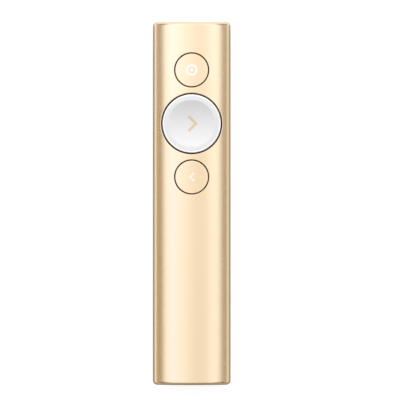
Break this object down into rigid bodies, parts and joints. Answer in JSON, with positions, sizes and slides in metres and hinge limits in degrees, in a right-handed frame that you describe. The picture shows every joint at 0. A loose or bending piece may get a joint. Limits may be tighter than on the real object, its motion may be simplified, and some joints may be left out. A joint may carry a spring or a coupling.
{
  "type": "wireless presentation clicker",
  "caption": "Slim anodised metal presentation clicker with a large dished white button between small round gold buttons, and a receiver docked in its tail.",
  "frame": {"origin": "middle of the bounding box in plan, on the lowest line of the crowned back", "axes": "+Z out of the buttons, +Y towards the nose end with the pointer button, +X to the user's right"},
  "size_m": [0.0282, 0.1314, 0.0121],
  "materials": {
    "anodised_gold": "fine bead-blasted and anodised, champagne gold, satin",
    "white_cap": "satin white",
    "icon_white": "smooth white inlay",
    "icon_gold": "smooth tan-gold inlay",
    "chassis_plastic": "moulded, fine texture",
    "frame_plastic": "moulded, fine texture",
    "carrier_plastic": "moulded, smooth",
    "switch_plastic": "moulded, smooth",
    "spring_steel": "rolled spring strip",
    "screw_steel": "turned, zinc plated",
    "board_green": "solder mask over glass laminate",
    "cell_foil": "laminated foil pouch",
    "foam": "closed-cell foam",
    "lead_red": "insulated wire",
    "lead_black": "insulated wire",
    "shield_tin": "tinned sheet",
    "chip_black": "moulded package",
    "component_tan": "sintered chip parts",
    "antenna_ceramic": "ceramic chip with plated ends",
    "led_lens": "clear epoxy lens",
    "weight_brass": "sintered heavy metal",
    "boot_rubber": "soft rubber",
    "connector_steel": "nickel-plated stamped shell",
    "tongue_white": "moulded insulator",
    "contact_gold": "gold-plated contacts"
  },
  "bodies": {
    "body": {"sleeve": "anodised_gold", "nose_plate": "anodised_gold", "tail_plate": "anodised_gold", "chassis": "chassis_plastic", "nose_cap": "chassis_plastic", "tail_cap": "chassis_plastic", "key_frame": "frame_plastic", "pointer_switch": "switch_plastic", "next_switch": "switch_plastic", "back_switch": "switch_plastic", "usb_c_tongue": "switch_plastic", "pointer_dome": "spring_steel", "next_dome": "spring_steel", "back_dome": "spring_steel", "dock_springs": "spring_steel", "nose_screws": "screw_steel", "tail_screws": "screw_steel", "frame_screws": "screw_steel", "main_board": "board_green", "battery_board": "board_green", "battery_cell": "cell_foil", "battery_pad": "foam", "battery_lead_positive": "lead_red", "motor_leads": "lead_red", "battery_lead_negative": "lead_black", "radio_shield": "shield_tin", "motor_can": "shield_tin", "processor": "chip_black", "motion_sensor": "chip_black", "charge_controller": "chip_black", "small_components": "component_tan", "antenna": "antenna_ceramic", "status_led": "led_lens", "motor_boot": "boot_rubber", "usb_c_shell": "connector_steel"},
    "pointer_button": {"pointer_cap": "anodised_gold", "pointer_carrier": "carrier_plastic", "pointer_icon": "icon_white"},
    "next_button": {"next_cap": "white_cap", "next_carrier": "carrier_plastic", "next_icon": "icon_gold"},
    "back_button": {"back_cap": "anodised_gold", "back_carrier": "carrier_plastic", "back_icon": "icon_white"},
    "pointer_switch_plunger": {"pointer_plunger": "carrier_plastic"},
    "next_switch_plunger": {"next_plunger": "carrier_plastic"},
    "back_switch_plunger": {"back_plunger": "carrier_plastic"},
    "motor_rotor": {"motor_shaft": "screw_steel", "motor_weight": "weight_brass"},
    "receiver": {"receiver_housing": "anodised_gold", "receiver_plug_shell": "connector_steel", "receiver_tongue": "tongue_white", "receiver_contacts": "contact_gold", "receiver_board": "board_green"}
  },
  "joints": [
    {"name": "pointer_press", "type": "slide", "parent": "body", "child": "pointer_button", "axis": [0, 0, -1], "range_m": [0, 0.0003], "stiffness_N_per_m": 2500, "springref_m": -0.0004},
    {"name": "next_press", "type": "slide", "parent": "body", "child": "next_button", "axis": [0, 0, -1], "range_m": [0, 0.0003], "stiffness_N_per_m": 2500, "springref_m": -0.0004},
    {"name": "back_press", "type": "slide", "parent": "body", "child": "back_button", "axis": [0, 0, -1], "range_m": [0, 0.0003], "stiffness_N_per_m": 2500, "springref_m": -0.0004},
    {"name": "pointer_plunger_press", "type": "slide", "parent": "body", "child": "pointer_switch_plunger", "axis": [0, 0, -1], "range_m": [0, 0.0003], "deforming": ["pointer_dome"]},
    {"name": "next_plunger_press", "type": "slide", "parent": "body", "child": "next_switch_plunger", "axis": [0, 0, -1], "range_m": [0, 0.0003], "deforming": ["next_dome"]},
    {"name": "back_plunger_press", "type": "slide", "parent": "body", "child": "back_switch_plunger", "axis": [0, 0, -1], "range_m": [0, 0.0003], "deforming": ["back_dome"]},
    {"name": "motor_spin", "type": "hinge", "parent": "body", "child": "motor_rotor", "pos_m": [0, 0.0579, 0.00605], "axis": [1, 0, 0], "continuous": true},
    {"name": "receiver_slide", "type": "slide", "parent": "body", "child": "receiver", "axis": [0, -1, 0], "range_m": [0, 0.03]}
  ],
  "couplings": [
    {"joint": "pointer_plunger_press", "follows": "pointer_press", "ratio": 1},
    {"joint": "next_plunger_press", "follows": "next_press", "ratio": 1},
    {"joint": "back_plunger_press", "follows": "back_press", "ratio": 1}
  ]
}
